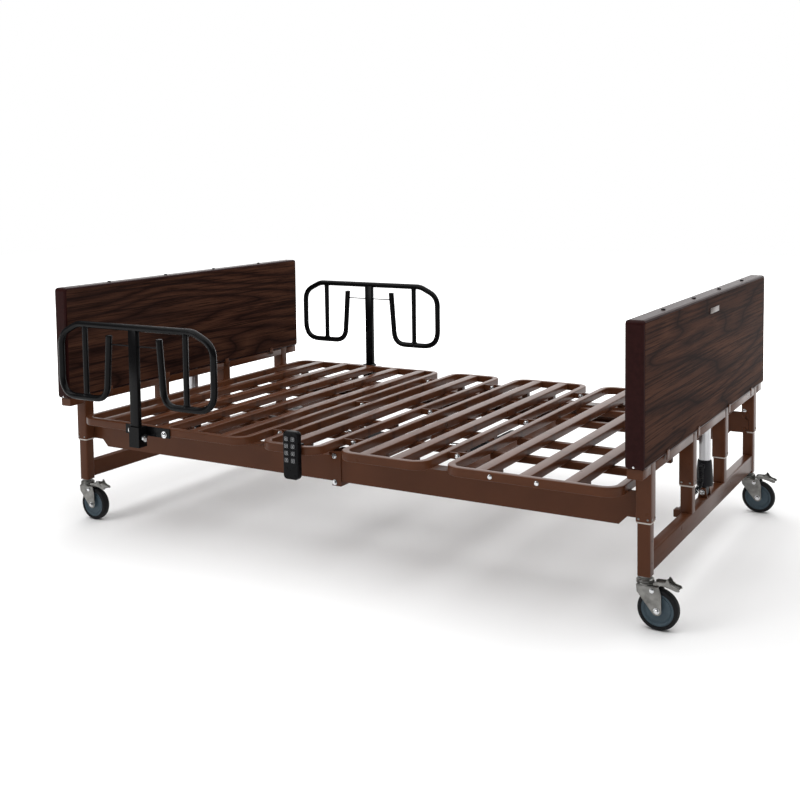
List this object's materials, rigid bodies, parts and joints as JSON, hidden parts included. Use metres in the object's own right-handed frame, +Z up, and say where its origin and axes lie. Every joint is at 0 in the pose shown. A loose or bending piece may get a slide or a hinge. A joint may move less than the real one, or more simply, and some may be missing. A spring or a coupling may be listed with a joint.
{
  "type": "adjustable hospital bed",
  "caption": "Wide electric hospital bed: jointed slatted deck, telescoping ends on braked casters, wood boards, assist rails and a hand pendant.",
  "frame": {"origin": "on the floor, under the centre of the whole bed", "axes": "+X to the foot end, +Y to the right side rail of a person lying on their back, +Z up"},
  "size_m": [2.4282, 1.584, 0.931],
  "materials": {
    "board_laminate": "dark walnut laminate, satin",
    "brown_paint": "glossy brown powder coat",
    "black_paint": "gloss black",
    "zinc": "zinc plated",
    "wheel_hub": "blue-grey moulded",
    "tyre": "dark grey",
    "key": "soft key",
    "pendant_plastic": "gloss black",
    "black_plastic": "black moulded",
    "anodised": "clear anodised",
    "steel": "bright plated",
    "cable": "black coiled cable"
  },
  "bodies": {
    "head_legs": {"head_leg_frame": "brown_paint", "head_lift_motor": "black_plastic", "head_lift_tube": "anodised"},
    "bed_frame": {"head_board": "board_laminate", "foot_board": "board_laminate", "head_end_frame": "brown_paint", "foot_end_frame": "brown_paint", "head_lift_rod": "steel", "foot_lift_rod": "steel", "head_left_side_rail": "brown_paint", "head_right_side_rail": "brown_paint", "foot_left_side_rail": "brown_paint", "foot_right_side_rail": "brown_paint", "centre_crossmember": "brown_paint", "head_cross_tube": "brown_paint", "foot_cross_tube": "brown_paint", "seat_section": "brown_paint", "control_box": "black_plastic", "pendant_case": "pendant_plastic"},
    "foot_legs": {"foot_leg_frame": "brown_paint", "foot_lift_motor": "black_plastic", "foot_lift_tube": "anodised", "foot_motor_cable": "cable"},
    "back": {"back_section": "brown_paint", "left_rail_socket": "black_paint", "right_rail_socket": "black_paint"},
    "thigh": {"thigh_section": "brown_paint"},
    "calf": {"calf_section": "brown_paint"},
    "back_drive": {"back_actuator": "anodised"},
    "back_push_rod": {"back_actuator_rod": "steel"},
    "leg_drive": {"leg_actuator": "black_plastic"},
    "leg_push_rod": {"leg_actuator_rod": "steel"},
    "left_rail": {"left_assist_rail": "black_paint"},
    "left_knob": {"left_plunger_knob": "steel"},
    "right_rail": {"right_assist_rail": "black_paint"},
    "right_knob": {"right_plunger_knob": "steel"},
    "button_1": {"pendant_button_1": "key"},
    "button_2": {"pendant_button_2": "key"},
    "button_3": {"pendant_button_3": "key"},
    "button_4": {"pendant_button_4": "key"},
    "button_5": {"pendant_button_5": "key"},
    "button_6": {"pendant_button_6": "key"},
    "button_7": {"pendant_button_7": "key"},
    "button_8": {"pendant_button_8": "key"},
    "head_left_caster": {"head_left_caster_fork": "zinc"},
    "head_left_wheel": {"head_left_caster_hub": "wheel_hub", "head_left_caster_tyre": "tyre"},
    "head_left_pedal": {"head_left_brake_pedal": "zinc"},
    "head_right_caster": {"head_right_caster_fork": "zinc"},
    "head_right_wheel": {"head_right_caster_hub": "wheel_hub", "head_right_caster_tyre": "tyre"},
    "head_right_pedal": {"head_right_brake_pedal": "zinc"},
    "foot_left_caster": {"foot_left_caster_fork": "zinc"},
    "foot_left_wheel": {"foot_left_caster_hub": "wheel_hub", "foot_left_caster_tyre": "tyre"},
    "foot_left_pedal": {"foot_left_brake_pedal": "zinc"},
    "foot_right_caster": {"foot_right_caster_fork": "zinc"},
    "foot_right_wheel": {"foot_right_caster_hub": "wheel_hub", "foot_right_caster_tyre": "tyre"},
    "foot_right_pedal": {"foot_right_brake_pedal": "zinc"}
  },
  "joints": [
    {"name": "bed_lift", "type": "slide", "parent": "head_legs", "child": "bed_frame", "axis": [0, 0, 1], "range_m": [-0.08, 0.22]},
    {"name": "foot_lift", "type": "slide", "parent": "bed_frame", "child": "foot_legs", "axis": [0, 0, -1], "range_m": [-0.08, 0.22]},
    {"name": "back_lift", "type": "hinge", "parent": "bed_frame", "child": "back", "pos_m": [-0.28385, 0, 0.418], "axis": [0, 1, 0], "range_deg": [0, 65]},
    {"name": "back_drive_pivot", "type": "hinge", "parent": "bed_frame", "child": "back_drive", "pos_m": [-0.75585, 0, 0.31], "axis": [0, -1, 0], "range_deg": [0, 13]},
    {"name": "back_drive_stroke", "type": "slide", "parent": "back_drive", "child": "back_push_rod", "axis": [0.9991, 0, -0.0432], "range_m": [-0.1055, 0]},
    {"name": "thigh_lift", "type": "hinge", "parent": "bed_frame", "child": "thigh", "pos_m": [0.03315, 0, 0.418], "axis": [0, -1, 0], "range_deg": [0, 30]},
    {"name": "calf_fold", "type": "hinge", "parent": "thigh", "child": "calf", "pos_m": [0.44215, 0, 0.418], "axis": [0, 1, 0], "range_deg": [0, 50]},
    {"name": "leg_drive_pivot", "type": "hinge", "parent": "bed_frame", "child": "leg_drive", "pos_m": [0.36415, 0, 0.31], "axis": [0, 1, 0], "range_deg": [0, 4.1]},
    {"name": "leg_drive_stroke", "type": "slide", "parent": "leg_drive", "child": "leg_push_rod", "axis": [-0.9981, 0, -0.0622], "range_m": [-0.0634, 0]},
    {"name": "left_rail_height", "type": "slide", "parent": "back", "child": "left_rail", "axis": [0, 0, 1], "range_m": [0, 0.1]},
    {"name": "left_knob_pull", "type": "slide", "parent": "back", "child": "left_knob", "axis": [1, 0, 0], "range_m": [0, 0.006], "stiffness_N_per_m": 600},
    {"name": "right_rail_height", "type": "slide", "parent": "back", "child": "right_rail", "axis": [0, 0, 1], "range_m": [0, 0.1]},
    {"name": "right_knob_pull", "type": "slide", "parent": "back", "child": "right_knob", "axis": [-1, 0, 0], "range_m": [0, 0.006], "stiffness_N_per_m": 600},
    {"name": "button_1_press", "type": "slide", "parent": "bed_frame", "child": "button_1", "axis": [0, 1, 0], "range_m": [0, 0.0015], "stiffness_N_per_m": 300},
    {"name": "button_2_press", "type": "slide", "parent": "bed_frame", "child": "button_2", "axis": [0, 1, 0], "range_m": [0, 0.0015], "stiffness_N_per_m": 300},
    {"name": "button_3_press", "type": "slide", "parent": "bed_frame", "child": "button_3", "axis": [0, 1, 0], "range_m": [0, 0.0015], "stiffness_N_per_m": 300},
    {"name": "button_4_press", "type": "slide", "parent": "bed_frame", "child": "button_4", "axis": [0, 1, 0], "range_m": [0, 0.0015], "stiffness_N_per_m": 300},
    {"name": "button_5_press", "type": "slide", "parent": "bed_frame", "child": "button_5", "axis": [0, 1, 0], "range_m": [0, 0.0015], "stiffness_N_per_m": 300},
    {"name": "button_6_press", "type": "slide", "parent": "bed_frame", "child": "button_6", "axis": [0, 1, 0], "range_m": [0, 0.0015], "stiffness_N_per_m": 300},
    {"name": "button_7_press", "type": "slide", "parent": "bed_frame", "child": "button_7", "axis": [0, 1, 0], "range_m": [0, 0.0015], "stiffness_N_per_m": 300},
    {"name": "button_8_press", "type": "slide", "parent": "bed_frame", "child": "button_8", "axis": [0, 1, 0], "range_m": [0, 0.0015], "stiffness_N_per_m": 300},
    {"name": "head_left_swivel", "type": "hinge", "parent": "head_legs", "child": "head_left_caster", "pos_m": [-1.17885, -0.65, 0.1], "axis": [0, 0, 1], "continuous": true},
    {"name": "head_left_roll", "type": "hinge", "parent": "head_left_caster", "child": "head_left_wheel", "pos_m": [-1.13885, -0.65, 0.0625], "axis": [0, 1, 0], "continuous": true},
    {"name": "head_left_brake", "type": "hinge", "parent": "head_left_caster", "child": "head_left_pedal", "pos_m": [-1.14885, -0.65, 0.14], "axis": [0, 1, 0], "range_deg": [0, 8]},
    {"name": "head_right_swivel", "type": "hinge", "parent": "head_legs", "child": "head_right_caster", "pos_m": [-1.17885, 0.65, 0.1], "axis": [0, 0, 1], "continuous": true},
    {"name": "head_right_roll", "type": "hinge", "parent": "head_right_caster", "child": "head_right_wheel", "pos_m": [-1.13885, 0.65, 0.0625], "axis": [0, 1, 0], "continuous": true},
    {"name": "head_right_brake", "type": "hinge", "parent": "head_right_caster", "child": "head_right_pedal", "pos_m": [-1.14885, 0.65, 0.14], "axis": [0, 1, 0], "range_deg": [0, 8]},
    {"name": "foot_left_swivel", "type": "hinge", "parent": "foot_legs", "child": "foot_left_caster", "pos_m": [1.10715, -0.65, 0.1], "axis": [0, 0, 1], "continuous": true},
    {"name": "foot_left_roll", "type": "hinge", "parent": "foot_left_caster", "child": "foot_left_wheel", "pos_m": [1.14715, -0.65, 0.0625], "axis": [0, 1, 0], "continuous": true},
    {"name": "foot_left_brake", "type": "hinge", "parent": "foot_left_caster", "child": "foot_left_pedal", "pos_m": [1.13715, -0.65, 0.14], "axis": [0, 1, 0], "range_deg": [0, 8]},
    {"name": "foot_right_swivel", "type": "hinge", "parent": "foot_legs", "child": "foot_right_caster", "pos_m": [1.10715, 0.65, 0.1], "axis": [0, 0, 1], "continuous": true},
    {"name": "foot_right_roll", "type": "hinge", "parent": "foot_right_caster", "child": "foot_right_wheel", "pos_m": [1.14715, 0.65, 0.0625], "axis": [0, 1, 0], "continuous": true},
    {"name": "foot_right_brake", "type": "hinge", "parent": "foot_right_caster", "child": "foot_right_pedal", "pos_m": [1.13715, 0.65, 0.14], "axis": [0, 1, 0], "range_deg": [0, 8]}
  ],
  "couplings": [
    {"joint": "foot_lift", "follows": "bed_lift", "ratio": 1},
    {"joint": "back_drive_pivot", "follows": "back_lift", "ratio": 0.1943},
    {"joint": "back_drive_stroke", "follows": "back_lift", "m_per_rad": -0.09258},
    {"joint": "calf_fold", "follows": "thigh_lift", "ratio": 1.663},
    {"joint": "leg_drive_pivot", "follows": "thigh_lift", "ratio": 0.1348},
    {"joint": "leg_drive_stroke", "follows": "thigh_lift", "m_per_rad": -0.12084}
  ]
}
